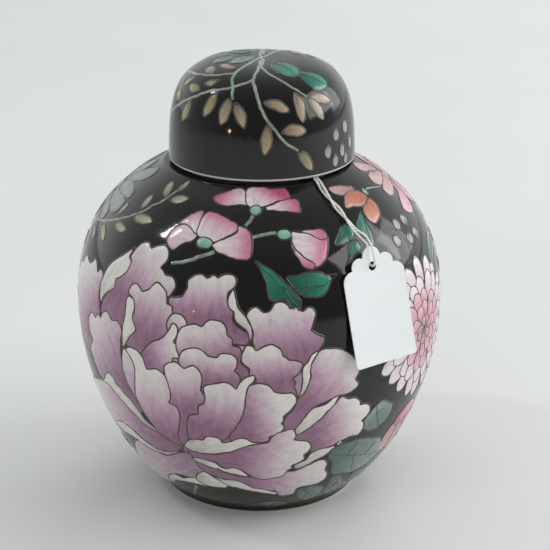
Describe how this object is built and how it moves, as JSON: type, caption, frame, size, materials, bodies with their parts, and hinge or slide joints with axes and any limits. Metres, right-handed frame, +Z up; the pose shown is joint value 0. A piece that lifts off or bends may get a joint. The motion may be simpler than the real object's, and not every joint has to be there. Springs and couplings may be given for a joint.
{
  "type": "ginger jar",
  "caption": "Round porcelain ginger jar with a narrow neck, a loose domed cap lid that lifts off, and a blank strung paper tag.",
  "frame": {"origin": "centre of the foot ring, on the surface the jar stands on", "axes": "+Z up along the jar's axis; the front, with the large flower, faces -Y; +X is to the right seen from the front"},
  "size_m": [0.1492, 0.1492, 0.18],
  "materials": {
    "black_glaze": "glossy black glaze over porcelain",
    "white_glaze": "glossy clear glaze over white porcelain",
    "biscuit": "unglazed white porcelain, matt",
    "enamel": "raised overglaze enamel, glossy",
    "outline": "raised dark outline enamel, satin gloss",
    "card": "smooth white card, matt",
    "cotton": "twisted white cotton string"
  },
  "bodies": {
    "jar": {"jar_body": "black_glaze", "tag_card": "card", "tag_string": "cotton", "string_knot": "cotton"},
    "lid": {"lid": "black_glaze"}
  },
  "joints": [
    {"name": "lid_lift", "type": "slide", "parent": "jar", "child": "lid", "axis": [0, 0, 1], "range_m": [0, 0.08]}
  ]
}
